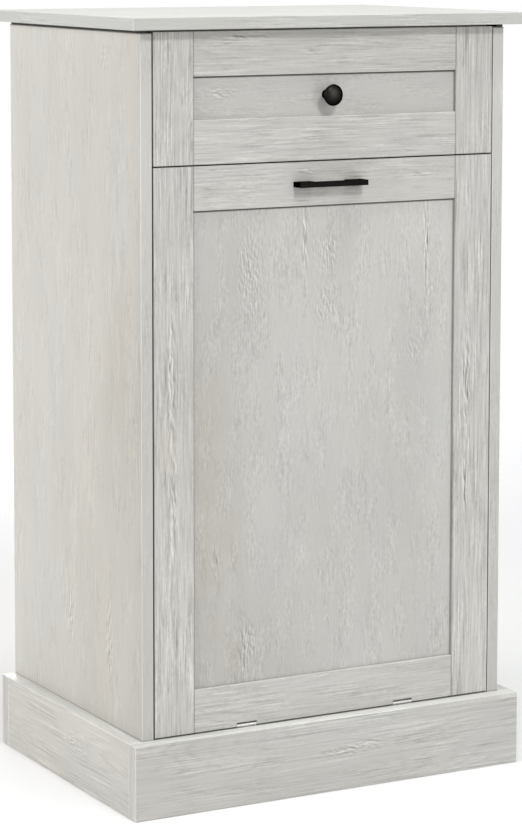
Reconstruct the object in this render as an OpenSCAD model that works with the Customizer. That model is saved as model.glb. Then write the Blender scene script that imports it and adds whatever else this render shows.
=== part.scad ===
// Tilt-out trash can cabinet with one drawer, standing on a plinth.
// X runs to the right, Y to the back and Z up, in millimetres.
// Sizes are first laid out from the front face of the sides, then moved so that
// the origin is the middle of the whole cabinet's box, on the floor.

/* [Cabinet] */
// Height of the cabinet, floor to worktop
total_h = 890; // [800:1:1000]
// Width across the outside of the sides
body_w = 470; // [420:1:600]
// Depth of the sides, front edge to back
body_d = 350; // [335:1:420]
// Thickness of the laminated boards
board_t = 14; // [13:0.5:18]
// How far the worktop stands out at each side
top_side_overhang = 17; // [4:1:40]
// How far the worktop stands out in front
top_front_overhang = 18; // [4:1:40]
// Height that the cross rails lift the worktop clear of the sides
shadow_gap = 3.2; // [1:0.1:4]
// Width of the cross rails under the worktop
rail_w = 60; // [50:1:90]
// Thickness of the hardboard back
back_t = 3.2; // [2.5:0.1:5]
// Depth of the rebate in each side that the back sits in
back_rebate = 8; // [6:0.5:9]

/* [Plinth] */
// Height of the plinth boards
plinth_h = 85; // [60:1:120]
// Thickness of the plinth boards
plinth_t = 17; // [14:0.5:22]
// Width of the corner blocks behind the plinth
block_w = 40; // [25:1:60]
// Height of the corner blocks
block_h = 50; // [30:1:55]

/* [Fronts] */
// Gap around the inset drawer front and door
front_gap = 1.4; // [1.2:0.1:3]
// Gap between the worktop and the top of the drawer front
drawer_top_gap = 2.5; // [1.2:0.1:6]
// Height of the drawer front
drawer_front_h = 147; // [140:1:180]
// Width of the stiles and rails around each panel
frame_w = 49.5; // [45:0.5:65]
// Thickness of the flat panels
panel_t = 6; // [4:0.5:8]
// Depth of the grooves that hold the panels
groove_depth = 8; // [5:0.5:10]
// Clearance of a panel or tongue in its groove
groove_fit = 0.1; // [0.05:0.05:0.3]
// Small flat along the edges of boards and strips
edge_ease = 0.5; // [0.2:0.1:1]

/* [Divider] */
// Drop from the drawer front's lower edge to the top of the divider
divider_drop = 4; // [2:0.5:8]
// Space between the door's back face and the divider's front edge
divider_setback = 2; // [1.5:0.5:5]

/* [Drawer box] */
// Thickness of the drawer box's walls
drawer_wall = 12; // [10:0.5:15]
// Height of the drawer box
box_h = 100; // [80:1:110]
// Space between the drawer box and the back
box_rear_gap = 32.8; // [20:0.1:60]
// Height of the drawer box above the lower edge of its front
box_lift = 12; // [8:1:16]
// Thickness of the drawer bottom
drawer_bottom_t = 3; // [2.5:0.1:5]
// Height of the drawer bottom above the lower edge of the box
bottom_lift = 8; // [6:1:12]
// Depth of the grooves for the drawer bottom
bottom_groove = 5; // [3:0.5:7]

/* [Slides] */
// Space for one slide between the cabinet side and the drawer box
slide_space = 13; // [12.5:0.1:14]
// Height of the outer slide member
slide_h = 35; // [33:1:46]
// Distance of the slides' rear ends in front of the drawer box's back
slide_end_gap = 3; // [1:1:20]
// Thickness of the slide's steel sheet
slide_sheet = 1.2; // [1:0.1:1.4]
// Diameter of the slide's balls
ball_d = 3; // [2.5:0.1:3.2]
// Running clearance of the balls in their tracks
ball_fit = 0.05; // [0.02:0.01:0.08]
// How far the drawer pulls out
drawer_travel = 250; // [150:5:270]
// Length of one ball cage
cage_l = 80; // [60:1:100]

/* [Hinges] */
// Distance of each hinge from the middle of the door
hinge_x = 103; // [70:1:150]
// Width of a hinge
hinge_w = 25; // [20:1:40]
// Thickness of the hinge leaves
leaf_t = 0.9; // [0.6:0.05:0.95]
// Outer diameter of the hinge knuckles
barrel_d = 4.2; // [4:0.1:6]
// Diameter of the hinge pin
hinge_pin_d = 2; // [1.8:0.1:3]
// Running clearance between a pin and its bore
pin_fit = 0.05; // [0.02:0.01:0.09]
// Distance of the hinge pin behind the front face
hinge_setback = 2; // [1.5:0.1:3]
// Height of the notch in the door above the hinge knuckles
notch_head = 1.8; // [0.4:0.1:4]
// How far the door tips out, in degrees
door_tilt = 40; // [25:1:45]

/* [Stays] */
// Distance of the stay's pivot and stud in from the wing's round edge
stay_inset = 30; // [22:1:60]
// Angle of the stay's pivot above the horizontal, seen from the hinge pin
pivot_angle = 10; // [8:0.5:12]
// Angle of the stud above the horizontal with the door shut
stud_angle = 18; // [16:0.5:22]
// Width of the stay
stay_w = 18; // [14:1:24]
// Thickness of the stay
stay_t = 2; // [1.5:0.1:3]
// Diameter of the shoulders that the stay turns and slides on
shoulder_d = 6; // [5:0.1:7]
// Side clearance of the stay between its washers and heads
stay_fit = 0.2; // [0.1:0.05:0.4]

/* [Bin cradle] */
// Thickness of the cradle's boards
cradle_t = 12; // [12:0.5:15]
// Space between each wing and the cabinet side
wing_gap = 12; // [11.5:0.5:20]
// Space between the wing's round edge and the back
wing_rear_gap = 34.8; // [15:0.1:60]
// Height of the wings above the bottom panel
wing_lift = 8; // [5:1:12]
// Height of the rail across the back of the cradle
cradle_rail_h = 80; // [60:1:85]
// Distance of the cradle floor's rear edge in from the wing's round edge
floor_inset = 20; // [18:1:60]

/* [Knob and pull] */
// Diameter of the knob's head
knob_d = 24.5; // [20:0.5:32]
// Length of the knob in front of the drawer panel
knob_l = 21.5; // [18:0.5:28]
// Diameter of the knob's foot
knob_foot_d = 11; // [9:0.5:14]
// Length of the door pull
pull_l = 88; // [70:1:120]
// Height of the pull's bar
pull_h = 6; // [5:0.5:10]
// How far the pull stands out from the door
pull_reach = 17.5; // [14:0.5:24]
// Depth of the pull's bar between its feet
pull_bar_d = 8; // [6:0.5:10]
// Width of each foot of the pull
pull_foot_w = 22; // [14:1:26]

/* [Fasteners] */
// Radius of the long carcass screws
long_screw_r = 2; // [1.5:0.1:2.2]
// Length of the long carcass screws
long_screw_l = 23; // [20:1:24]
// Radius of the short flat-head screws
short_screw_r = 1.5; // [1.2:0.1:1.7]
// Length of the short flat-head screws
short_screw_l = 11.5; // [9:0.5:12]
// Length of the drawer box's screws
box_screw_l = 22; // [20:0.5:23]
// Radius of a connecting cam
cam_r = 7.5; // [6:0.1:7.5]
// Height of a connecting cam
cam_h = 10.5; // [9:0.1:11]
// Distance from a joint to its cam's middle
cam_reach = 24; // [20:1:30]
// Depth that a cam bolt goes into the mating board
bolt_depth = 10; // [7:0.5:10.5]
// Clearance of screws, bolts and cams in their holes
hole_fit = 0.05; // [0.02:0.01:0.2]

/* [Hidden] */
$fn = 48;

wood_color = [0.8, 0.79, 0.76];
core_color = [0.72, 0.66, 0.56];
steel_color = [0.7, 0.71, 0.72];
black_color = [0.08, 0.08, 0.08];

inner_half = body_w / 2 - board_t;
front_half = inner_half - front_gap;
top_z = total_h - board_t;
side_top = top_z - shadow_gap;
front_top = top_z - drawer_top_gap;
front_t = board_t;

// The whole box along Y: its front is the deepest of the worktop and the two handles
panel_face = (front_t - panel_t) / 2;
front_reach = max(top_front_overhang, pull_reach, plinth_t, knob_l - panel_face);
centre_y = (body_d - front_reach) / 2;

// The gap under the door lets its front corner swing past the bottom panel and holds the fixed leaf
hinge_y = hinge_setback;
barrel_r = barrel_d / 2;
barrel_rest = 0.2;
hinge_lift = barrel_r + barrel_rest;
hinge_z = plinth_h + hinge_lift;
corner_air = 0.3;
leaf_air = 0.2;
swing_gap = hinge_lift - (hinge_lift - corner_air - hinge_setback * sin(door_tilt)) / cos(door_tilt);
foot_gap = max(front_gap, swing_gap, leaf_t + leaf_air);

drawer_z0 = front_top - drawer_front_h;
drawer_mid_z = drawer_z0 + drawer_front_h / 2;
door_z0 = plinth_h + foot_gap;
door_z1 = drawer_z0 - front_gap;
divider_top = drawer_z0 - divider_drop;
divider_z0 = divider_top - board_t;
divider_y0 = front_t + divider_setback;
back_face = body_d - back_t;
rail_rear_y = back_face - rail_w;
rear_plinth_y = body_d - plinth_t;

box_z0 = drawer_z0 + box_lift;
box_half = inner_half - slide_space;
box_y0 = front_t;
box_y1 = back_face - box_rear_gap;
slide_z = box_z0 + box_h / 2;
slide_y0 = divider_y0;
slide_y1 = box_y1 - slide_end_gap;

// Slide members nest inside one another with a row of balls between their flanges
track = ball_d + 2 * ball_fit;
middle_h = slide_h - 2 * (slide_sheet + track);
inner_h = middle_h - 2 * (slide_sheet + track);
outer_reach = 9;
middle_in = 3.4;
middle_out = 10.5;
inner_reach = 6.5;
outer_ball_u = 7;
inner_ball_u = 8.5;
outer_row_z = slide_h / 2 - slide_sheet - track / 2;
inner_row_z = middle_h / 2 - slide_sheet - track / 2;
cage_margin = 12;
cage_w = 3.6;
cage_t = 1;
balls_in_cage = 4;

// Bent tabs that stop each slide member at half of the drawer's travel
stop_z0 = 3;
stop_z1 = 7;
stop_t = 1.5;
stop_air = 0.2;
member_travel = drawer_travel / 2;
middle_stop_y = slide_y1 - 8;
inner_stop_y = slide_y1 - stop_t;

knuckles = 5;
knuckle_w = hinge_w / knuckles;
knuckle_gap = 0.15;
leaf_back = front_t - 1;
notch_side = 0.5;
notch_clear = 0.4;
leaf_fit = 0.1;
wing_radius = back_face - hinge_y - wing_rear_gap;
hinge_screw_x = hinge_w / 2 - 4.5;
hinge_screw_y = hinge_y + barrel_r + 4.5;

// Pivot and stud lie on one circle about the hinge pin, so the stay turns half as far as the door
stay_radius = wing_radius - stay_inset;
pivot_y = hinge_y + stay_radius * cos(pivot_angle);
pivot_z = hinge_z + stay_radius * sin(pivot_angle);
stud_y = hinge_y + stay_radius * cos(stud_angle);
stud_z = hinge_z + stay_radius * sin(stud_angle);
stay_rest_angle = 90 + (pivot_angle + stud_angle) / 2;
slot_start = 2 * stay_radius * sin((stud_angle - pivot_angle) / 2);
slot_end = 2 * stay_radius * sin((stud_angle + door_tilt - pivot_angle) / 2);
slot_spare = 0.3;
stay_x = inner_half - wing_gap / 2 - stay_t / 2;
washer_r = shoulder_d / 2 + 2;
pin_head_t = 1.8;
pin_thread_r = shoulder_d / 2 - 0.5;

wing_out = inner_half - wing_gap;
wing_in = wing_out - cradle_t;
wing_z0 = plinth_h + wing_lift;
floor_z0 = wing_z0 + 2;
floor_z1 = floor_z0 + cradle_t;
floor_y1 = hinge_y + wing_radius - floor_inset;
wing_cam_low = 55;
wing_cam_high = 215;
floor_cam_inset = 46;

pull_z = door_z1 - frame_w / 2;
pull_screw_x = pull_l / 2 - pull_foot_w / 2;
handle_screw_r = 2;
handle_hole_r = 2.3;
handle_head_r = 4;
handle_head_h = 2.4;
pull_screw_grip = 10;
knob_screw_grip = 12;

strike_t = 1.2;
strike_w = 30;
strike_h = 12;
catch_air = 0.3;
catch_w = 30;
catch_ear = 8;
catch_h = 13;
catch_d = 19;
catch_ear_t = 3;
catch_y0 = front_t + strike_t + catch_air;
strike_z0 = divider_z0 - strike_h - 0.5;

// Screw heads
long_head_r = 4;
long_head_h = 2.2;
short_head_r = 2.7;
short_head_h = 1.4;
box_screw_r = 1.75;
box_head_r = 3.2;
box_head_h = 1.8;
bolt_r = 2.5;
shank_r = 3;
shank_bore = 3.5;

module place() {
    translate([0, -centre_y, 0]) children();
}

module on_side(side) {
    if (side > 0) children();
    else mirror([1, 0, 0]) children();
}

module both_sides() {
    children();
    mirror([1, 0, 0]) children();
}

// A box between two corners
module block(low, high) {
    translate(low) cube(high - low);
}

// A flat shape drawn in X and Z, run along Y
module along_y(y0, y1) {
    translate([0, y1, 0]) rotate([90, 0, 0]) linear_extrude(y1 - y0) children();
}

// A flat shape drawn in Y and Z, run along X
module along_x(x0, x1) {
    translate([x0, 0, 0]) rotate([90, 0, 90]) linear_extrude(x1 - x0) children();
}

// A rectangle with its four corners cut at 45 degrees
module eased_rect(a, b, ease) {
    polygon([[a.x + ease, a.y], [b.x - ease, a.y], [b.x, a.y + ease], [b.x, b.y - ease],
        [b.x - ease, b.y], [a.x + ease, b.y], [a.x, b.y - ease], [a.x, a.y + ease]]);
}

// A board between two corners with every edge eased
module eased_board(low, high, ease = edge_ease) {
    intersection() {
        translate([0, 0, low.z]) linear_extrude(high.z - low.z)
            eased_rect([low.x, low.y], [high.x, high.y], ease);
        along_y(low.y, high.y) eased_rect([low.x, low.z], [high.x, high.z], ease);
        along_x(low.x, high.x) eased_rect([low.y, low.z], [high.y, high.z], ease);
    }
}

// Screws point down from their head's seat at the origin
module cross_recess(head_r, depth) {
    for (turn = [0, 90]) rotate([0, 0, turn])
        translate([-head_r * 0.55, -head_r * 0.12, -depth]) cube([head_r * 1.1, head_r * 0.24, depth + 1]);
}

module pan_screw(length, shank, head_r, head_h) {
    translate([0, 0, -length]) cylinder(h = length + head_h / 2, r = shank);
    difference() {
        cylinder(h = head_h, r1 = head_r, r2 = head_r * 0.8);
        translate([0, 0, head_h]) cross_recess(head_r, head_h * 0.5);
    }
}

module flat_screw(length, shank, head_r, head_h) {
    difference() {
        union() {
            translate([0, 0, -length]) cylinder(h = length - head_h / 2, r = shank);
            translate([0, 0, -head_h]) cylinder(h = head_h, r1 = shank, r2 = head_r);
        }
        cross_recess(head_r, head_h * 0.6);
    }
}

module screw_bore(length, shank) {
    translate([0, 0, -length - 0.3]) cylinder(h = length + 0.3, r = shank + hole_fit);
}

module flat_bore(length, shank, head_r, head_h) {
    screw_bore(length, shank);
    translate([0, 0, -head_h]) cylinder(h = head_h, r1 = shank + hole_fit, r2 = head_r + hole_fit);
    cylinder(h = 1, r = head_r + hole_fit);
}

module long_screw() {
    pan_screw(long_screw_l, long_screw_r, long_head_r, long_head_h);
}

module long_bore() {
    screw_bore(long_screw_l, long_screw_r);
}

module short_screw() {
    flat_screw(short_screw_l, short_screw_r, short_head_r, short_head_h);
}

module short_bore() {
    flat_bore(short_screw_l, short_screw_r, short_head_r, short_head_h);
}

module box_screw() {
    flat_screw(box_screw_l, box_screw_r, box_head_r, box_head_h);
}

module box_bore() {
    flat_bore(box_screw_l, box_screw_r, box_head_r, box_head_h);
}

// A connecting fitting: the joint is at the origin, the cam's board runs along +X
// and the cam is let in from below, t being that board's thickness
module cam_lock(t) {
    difference() {
        translate([cam_reach, 0, -t / 2]) cylinder(h = cam_h, r = cam_r);
        translate([cam_reach - cam_r - 1, 0, 0]) rotate([0, 90, 0])
            cylinder(h = cam_r + 4, r = shank_r + 0.2);
        translate([cam_reach, 0, -t / 2]) mirror([0, 0, 1]) cross_recess(cam_r, 2);
    }
}

module cam_bolt() {
    rotate([0, 90, 0]) {
        translate([0, 0, -bolt_depth]) cylinder(h = bolt_depth, r = bolt_r);
        cylinder(h = cam_reach - cam_r, r = shank_r);
        translate([0, 0, cam_reach - cam_r - 0.5]) cylinder(h = cam_r, r = shank_r * 0.55);
        translate([0, 0, cam_reach - 1.5]) cylinder(h = 3, r = shank_r * 0.9);
    }
}

module cam_pocket(t) {
    translate([cam_reach, 0, -t / 2 - 1]) cylinder(h = cam_h + 1.3, r = cam_r + hole_fit);
    translate([-1, 0, 0]) rotate([0, 90, 0]) cylinder(h = cam_reach + 1, r = shank_bore);
}

module bolt_bore() {
    translate([-bolt_depth - 0.3, 0, 0]) rotate([0, 90, 0])
        cylinder(h = bolt_depth + 0.3, r = bolt_r + hole_fit);
}

// Where the fittings sit
cam_inset = 60;
cam_front_y = cam_inset;
cam_rear_y = rear_plinth_y - cam_inset;
rail_mid_y = divider_y0 + rail_w / 2;
rear_rail_mid_y = rail_rear_y + rail_w / 2;

module at_bottom_cams() {
    both_sides() for (y = [cam_front_y, cam_rear_y])
        translate([inner_half, y, plinth_h - board_t / 2]) rotate([0, 0, 180]) children();
}

module at_divider_cams() {
    both_sides() for (y = [cam_front_y, cam_rear_y])
        translate([inner_half, y, divider_z0 + board_t / 2]) rotate([0, 0, 180]) children();
}

module at_rail_cams() {
    both_sides() for (y = [rail_mid_y, rear_rail_mid_y])
        translate([inner_half, y, top_z - board_t / 2]) rotate([0, 0, 180]) children();
}

top_screw_pitch = 150;

module at_top_screws() {
    for (x = [-top_screw_pitch, 0, top_screw_pitch], y = [rail_mid_y, rear_rail_mid_y])
        translate([x, y, top_z - board_t]) rotate([180, 0, 0]) children();
}

block_mid_x = inner_half - block_w / 2;
block_z0 = 8;
block_mid_z = block_z0 + block_h / 2;
plinth_screw_inset = 100;

module at_plinth_side_screws() {
    both_sides() for (y = [plinth_screw_inset, rear_plinth_y - plinth_screw_inset])
        translate([inner_half, y, block_mid_z]) rotate([0, -90, 0]) children();
}

module at_plinth_front_screws() {
    both_sides() translate([block_mid_x, board_t, block_mid_z]) rotate([-90, 0, 0]) children();
}

module at_plinth_rear_screws() {
    both_sides() translate([block_mid_x, rear_plinth_y - board_t, block_mid_z])
        rotate([90, 0, 0]) children();
}

module at_fixed_leaf_screws() {
    both_sides() for (x = [-hinge_screw_x, hinge_screw_x])
        translate([hinge_x + x, hinge_screw_y, plinth_h + leaf_t]) children();
}

module at_door_leaf_screws() {
    both_sides() for (x = [-hinge_screw_x, hinge_screw_x])
        translate([hinge_x + x, hinge_screw_y, door_z0]) rotate([180, 0, 0]) children();
}

slide_screw_inset = 20;
slide_screw_first = slide_y0 + slide_screw_inset;
slide_screw_last = slide_y1 - slide_screw_inset;
slide_screw_y = [slide_screw_first, (slide_screw_first + slide_screw_last) / 2, slide_screw_last];

module at_slide_screws() {
    both_sides() for (y = slide_screw_y)
        translate([inner_half - slide_sheet, y, slide_z]) rotate([0, -90, 0]) children();
}

// The inner members' screws end inside the drawer box's sides
member_screw_rest = 2;
member_screw_l = slide_sheet + drawer_wall - member_screw_rest;

module at_member_screws() {
    both_sides() for (y = slide_screw_y)
        translate([inner_half - slide_space + slide_sheet, y, slide_z]) rotate([0, 90, 0]) children();
}

module member_screw() {
    flat_screw(member_screw_l, short_screw_r, short_head_r, short_head_h);
}

module member_bore() {
    flat_bore(member_screw_l, short_screw_r, short_head_r, short_head_h);
}

back_screw_x = inner_half + back_rebate / 2 + 0.5;
back_screw_inset = 40;
back_screw_pitch = (side_top - plinth_h - 2 * back_screw_inset) / 3;

module at_back_screws() {
    both_sides() for (k = [0:3])
        translate([back_screw_x, body_d, plinth_h + back_screw_inset + k * back_screw_pitch])
            rotate([-90, 0, 0]) children();
}

module at_catch_screws() {
    both_sides() translate([catch_w / 2 + catch_ear / 2, catch_y0 + catch_d / 2, divider_z0 - catch_ear_t])
        rotate([180, 0, 0]) children();
}

module at_small_screws() {
    at_fixed_leaf_screws() children();
    at_slide_screws() children();
    at_back_screws() children();
    at_catch_screws() children();
}

module at_strike_screw() {
    translate([0, front_t + strike_t, strike_z0 + strike_h / 2]) rotate([-90, 0, 0]) children();
}

// Cabinet boards
module top_panel() place() color(wood_color) difference() {
    eased_board([-body_w / 2 - top_side_overhang, -top_front_overhang, top_z],
        [body_w / 2 + top_side_overhang, body_d, total_h], 0.8);
    at_top_screws() long_bore();
}

module side_panel() difference() {
    eased_board([inner_half, 0, 0], [body_w / 2, body_d, side_top]);
    block([inner_half - 1, rear_plinth_y, -1], [body_w / 2 + 1, body_d + 1, plinth_h]);
    block([inner_half - 1, back_face, plinth_h - 1], [inner_half + back_rebate, body_d + 1, side_top + 1]);
    at_bottom_cams() bolt_bore();
    at_divider_cams() bolt_bore();
    at_rail_cams() bolt_bore();
    at_plinth_side_screws() long_bore();
    at_slide_screws() short_bore();
    at_back_screws() short_bore();
    translate([inner_half, pivot_y, pivot_z]) rotate([0, 90, 0])
        cylinder(h = bolt_depth + 0.3, r = pin_thread_r + hole_fit);
}

module side_panel_left() place() color(wood_color) on_side(-1) side_panel();

module side_panel_right() place() color(wood_color) on_side(1) side_panel();

module bottom_panel() place() color(wood_color) difference() {
    block([-inner_half, 0, plinth_h - board_t], [inner_half, rear_plinth_y, plinth_h]);
    at_bottom_cams() cam_pocket(board_t);
    at_fixed_leaf_screws() short_bore();
}

module divider_panel() place() color(wood_color) difference() {
    block([-inner_half, divider_y0, divider_z0], [inner_half, back_face, divider_top]);
    at_divider_cams() cam_pocket(board_t);
    at_catch_screws() screw_bore(short_screw_l, short_screw_r);
}

module top_rail(y0) difference() {
    block([-inner_half, y0, top_z - board_t], [inner_half, y0 + rail_w, top_z]);
    at_rail_cams() cam_pocket(board_t);
    at_top_screws() long_bore();
}

module top_rail_front() place() color(wood_color) top_rail(divider_y0);

module top_rail_rear() place() color(wood_color) top_rail(rail_rear_y);

module back_panel() place() color(core_color) difference() {
    block([-inner_half - back_rebate, back_face, plinth_h], [inner_half + back_rebate, body_d, side_top]);
    at_back_screws() short_bore();
}

// Plinth
module plinth_front() place() color(wood_color) difference() {
    eased_board([-body_w / 2 - plinth_t, -plinth_t, 0], [body_w / 2 + plinth_t, 0, plinth_h]);
    at_plinth_front_screws() long_bore();
}

module plinth_side() difference() {
    eased_board([body_w / 2, 0, 0], [body_w / 2 + plinth_t, rear_plinth_y, plinth_h]);
    at_plinth_side_screws() long_bore();
}

module plinth_left() place() color(wood_color) on_side(-1) plinth_side();

module plinth_right() place() color(wood_color) on_side(1) plinth_side();

module plinth_rear() place() color(wood_color) difference() {
    eased_board([-body_w / 2 - plinth_t, rear_plinth_y, 0], [body_w / 2 + plinth_t, body_d, plinth_h]);
    at_plinth_rear_screws() long_bore();
}

module plinth_blocks() place() color(core_color) difference() {
    both_sides() for (y = [0, rear_plinth_y - board_t])
        block([inner_half - block_w, y, block_z0], [inner_half, y + board_t, block_z0 + block_h]);
    at_plinth_front_screws() long_bore();
    at_plinth_rear_screws() long_bore();
}

// Frame and panel fronts
module groove_cut(low, high) {
    y0 = panel_face - groove_fit;
    y1 = panel_face + panel_t + groove_fit;
    block([low.x, y0, low.y], [high.x, y1, high.y]);
}

module front_stile(z0, z1) difference() {
    eased_board([front_half - frame_w, 0, z0], [front_half, front_t, z1]);
    groove_cut([front_half - frame_w - 1, z0 - 1], [front_half - frame_w + groove_depth + 0.3, z1 + 1]);
}

// A rail whose groove faces up when the panel lies above it
module front_rail(z0, z1, panel_above) {
    stile_in = front_half - frame_w;
    groove_z0 = panel_above ? z1 - groove_depth - 0.3 : z0 - 1;
    groove_z1 = panel_above ? z1 + 1 : z0 + groove_depth + 0.3;
    tongue_z0 = panel_above ? z0 + 0.3 : groove_z1 + 0.3;
    tongue_z1 = panel_above ? groove_z0 - 0.3 : z1 - 0.3;
    difference() {
        union() {
            eased_board([-stile_in, 0, z0], [stile_in, front_t, z1]);
            block([-stile_in - groove_depth, panel_face, tongue_z0],
                [stile_in + groove_depth, panel_face + panel_t, tongue_z1]);
        }
        groove_cut([-stile_in - 1, groove_z0], [stile_in + 1, groove_z1]);
    }
}

module front_panel(z0, z1) {
    half = front_half - frame_w + groove_depth;
    block([-half, panel_face, z0 + frame_w - groove_depth],
        [half, panel_face + panel_t, z1 - frame_w + groove_depth]);
}

// Drawer
module drawer_panel() place() color(wood_color) difference() {
    front_panel(drawer_z0, front_top);
    translate([0, 0, drawer_mid_z]) rotate([-90, 0, 0]) cylinder(h = front_t, r = handle_hole_r);
}

module drawer_stile() difference() {
    front_stile(drawer_z0, front_top);
    at_front_screws() box_bore();
}

module drawer_stile_left() place() color(wood_color) on_side(-1) drawer_stile();

module drawer_stile_right() place() color(wood_color) on_side(1) drawer_stile();

module drawer_rail_top() place() color(wood_color) front_rail(front_top - frame_w, front_top, false);

module drawer_rail_bottom() place() color(wood_color) front_rail(drawer_z0, drawer_z0 + frame_w, true);

module knob() place() color(black_color) {
    rim_h = knob_l * 0.78;
    dome_h = knob_l - rim_h - 1.2;
    head_r = knob_d / 2;
    face_r = head_r - 1;
    dome = [for (a = [0:9:90]) [face_r * cos(a), rim_h + 1.2 + dome_h * sin(a)]];
    profile = concat([[0, 0], [knob_foot_d / 2, 0], [knob_foot_d / 2 - 0.6, 2.6],
        [head_r - 1.4, rim_h - 1.8], [head_r - 0.3, rim_h - 0.8], [head_r, rim_h]], dome);
    difference() {
        translate([0, panel_face, drawer_mid_z]) rotate([90, 0, 0])
            rotate_extrude($fn = 72) polygon(profile);
        translate([0, panel_face, drawer_mid_z]) rotate([90, 0, 0]) translate([0, 0, -1])
            cylinder(h = knob_screw_grip + 1.3, r = handle_screw_r + hole_fit);
    }
}

module knob_screw() place() color(steel_color)
    translate([0, box_y0 + drawer_wall, drawer_mid_z]) rotate([-90, 0, 0])
        pan_screw(box_y0 + drawer_wall - panel_face + knob_screw_grip, handle_screw_r,
            handle_head_r, handle_head_h);

corner_screw_inset = 16;
corner_screw_z = [box_z0 + corner_screw_inset, box_z0 + box_h - corner_screw_inset];
front_screw_x = front_half - frame_w + groove_depth + 5;

module at_front_screws() {
    both_sides() for (z = corner_screw_z)
        translate([front_screw_x, box_y0 + drawer_wall, z]) rotate([-90, 0, 0]) children();
}

module at_corner_screws() {
    both_sides() for (y = [box_y0 + drawer_wall / 2, box_y1 - drawer_wall / 2], z = corner_screw_z)
        translate([box_half, y, z]) rotate([0, 90, 0]) children();
}

module bottom_groove_cut() {
    grown = bottom_groove + 0.2;
    block([-box_half + drawer_wall - grown, box_y0 + drawer_wall - grown, box_z0 + bottom_lift - groove_fit],
        [box_half - drawer_wall + grown, box_y1 - drawer_wall + grown,
            box_z0 + bottom_lift + drawer_bottom_t + groove_fit]);
}

module drawer_side() difference() {
    eased_board([box_half - drawer_wall, box_y0, box_z0], [box_half, box_y1, box_z0 + box_h]);
    bottom_groove_cut();
    at_corner_screws() box_bore();
    at_member_screws() member_bore();
}

module drawer_side_left() place() color(core_color) on_side(-1) drawer_side();

module drawer_side_right() place() color(core_color) on_side(1) drawer_side();

module drawer_end(y0) difference() {
    block([-box_half + drawer_wall, y0, box_z0], [box_half - drawer_wall, y0 + drawer_wall, box_z0 + box_h]);
    bottom_groove_cut();
    at_corner_screws() box_bore();
}

module drawer_box_front() place() color(core_color) difference() {
    drawer_end(box_y0);
    at_front_screws() box_bore();
    translate([0, box_y0 - 1, drawer_mid_z]) rotate([-90, 0, 0])
        cylinder(h = drawer_wall + 2, r = handle_hole_r);
}

module drawer_box_back() place() color(core_color) drawer_end(box_y1 - drawer_wall);

module drawer_bottom() place() color(core_color)
    block([-box_half + drawer_wall - bottom_groove, box_y0 + drawer_wall - bottom_groove,
        box_z0 + bottom_lift], [box_half - drawer_wall + bottom_groove,
        box_y1 - drawer_wall + bottom_groove, box_z0 + bottom_lift + drawer_bottom_t]);

module drawer_screws() place() color(steel_color) {
    at_front_screws() box_screw();
    at_corner_screws() box_screw();
    at_member_screws() member_screw();
}

// Ball-bearing slides, drawn for the right side; u is the distance in from the cabinet side
module channel(u0, u1, height, open_inward) {
    x0 = inner_half - u1;
    x1 = inner_half - u0;
    cut_x0 = open_inward ? x0 - 1 : x0 + slide_sheet;
    cut_x1 = open_inward ? x1 - slide_sheet : x1 + 1;
    translate([0, slide_z]) difference() {
        translate([x0, -height / 2]) square([x1 - x0, height]);
        translate([cut_x0, -height / 2 + slide_sheet])
            square([cut_x1 - cut_x0, height - 2 * slide_sheet]);
    }
}

// A stop tab from u0 to u1, from y to the back of it
module stop_tab(u0, u1, y) {
    block([inner_half - u1, y, slide_z + stop_z0], [inner_half - u0, y + stop_t, slide_z + stop_z1]);
}

module slide_outer() {
    difference() {
        along_y(slide_y0, slide_y1) channel(0, outer_reach, slide_h, true);
        at_slide_screws() short_bore();
    }
    stop_tab(slide_sheet / 2, middle_in - 0.8, middle_stop_y - member_travel - stop_air - stop_t);
}

module slide_outer_left() place() color(steel_color) on_side(-1) slide_outer();

module slide_outer_right() place() color(steel_color) on_side(1) slide_outer();

module slide_middle() {
    along_y(slide_y0, slide_y1) channel(middle_in, middle_out, middle_h, true);
    stop_tab(slide_sheet + 0.8, middle_in + slide_sheet / 2, middle_stop_y);
    stop_tab(middle_in + slide_sheet / 2, inner_reach - 0.4,
        inner_stop_y - member_travel - stop_air - stop_t);
}

module slide_middle_left() place() color(steel_color) on_side(-1) slide_middle();

module slide_middle_right() place() color(steel_color) on_side(1) slide_middle();

module slide_inner() {
    difference() {
        along_y(slide_y0, slide_y1) channel(inner_reach, slide_space, inner_h, false);
        at_member_screws() member_bore();
    }
    stop_tab(middle_in + slide_sheet + 0.4, slide_space - slide_sheet / 2, inner_stop_y);
}

module slide_inner_left() place() color(steel_color) on_side(-1) slide_inner();

module slide_inner_right() place() color(steel_color) on_side(1) slide_inner();

// One strip with its row of balls
module ball_row(u, z, y0) {
    pitch = (cage_l - 2 * ball_d) / (balls_in_cage - 1);
    translate([inner_half - u, y0, slide_z + z]) {
        difference() {
            block([-cage_w / 2, 0, -cage_t / 2], [cage_w / 2, cage_l, cage_t / 2]);
            for (k = [0:balls_in_cage - 1]) translate([0, ball_d + k * pitch, -cage_t])
                cylinder(h = 2 * cage_t, r = ball_d / 2 + ball_fit);
        }
        for (k = [0:balls_in_cage - 1]) translate([0, ball_d + k * pitch, 0])
            sphere(d = ball_d, $fn = 24);
    }
}

module ball_cage() {
    for (s = [-1, 1]) {
        ball_row(outer_ball_u, s * outer_row_z, slide_y1 - cage_margin - cage_l);
        ball_row(inner_ball_u, s * inner_row_z, slide_y0 + cage_margin);
    }
}

module ball_cage_left() place() color(steel_color) on_side(-1) ball_cage();

module ball_cage_right() place() color(steel_color) on_side(1) ball_cage();

// Door
module door_panel() place() color(wood_color) front_panel(door_z0, door_z1);

module at_wing_cams() {
    both_sides() for (z = [wing_z0 + wing_cam_low, wing_z0 + wing_cam_high])
        translate([wing_out - cradle_t / 2, front_t, z]) rotate([90, 0, 90]) children();
}

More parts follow.
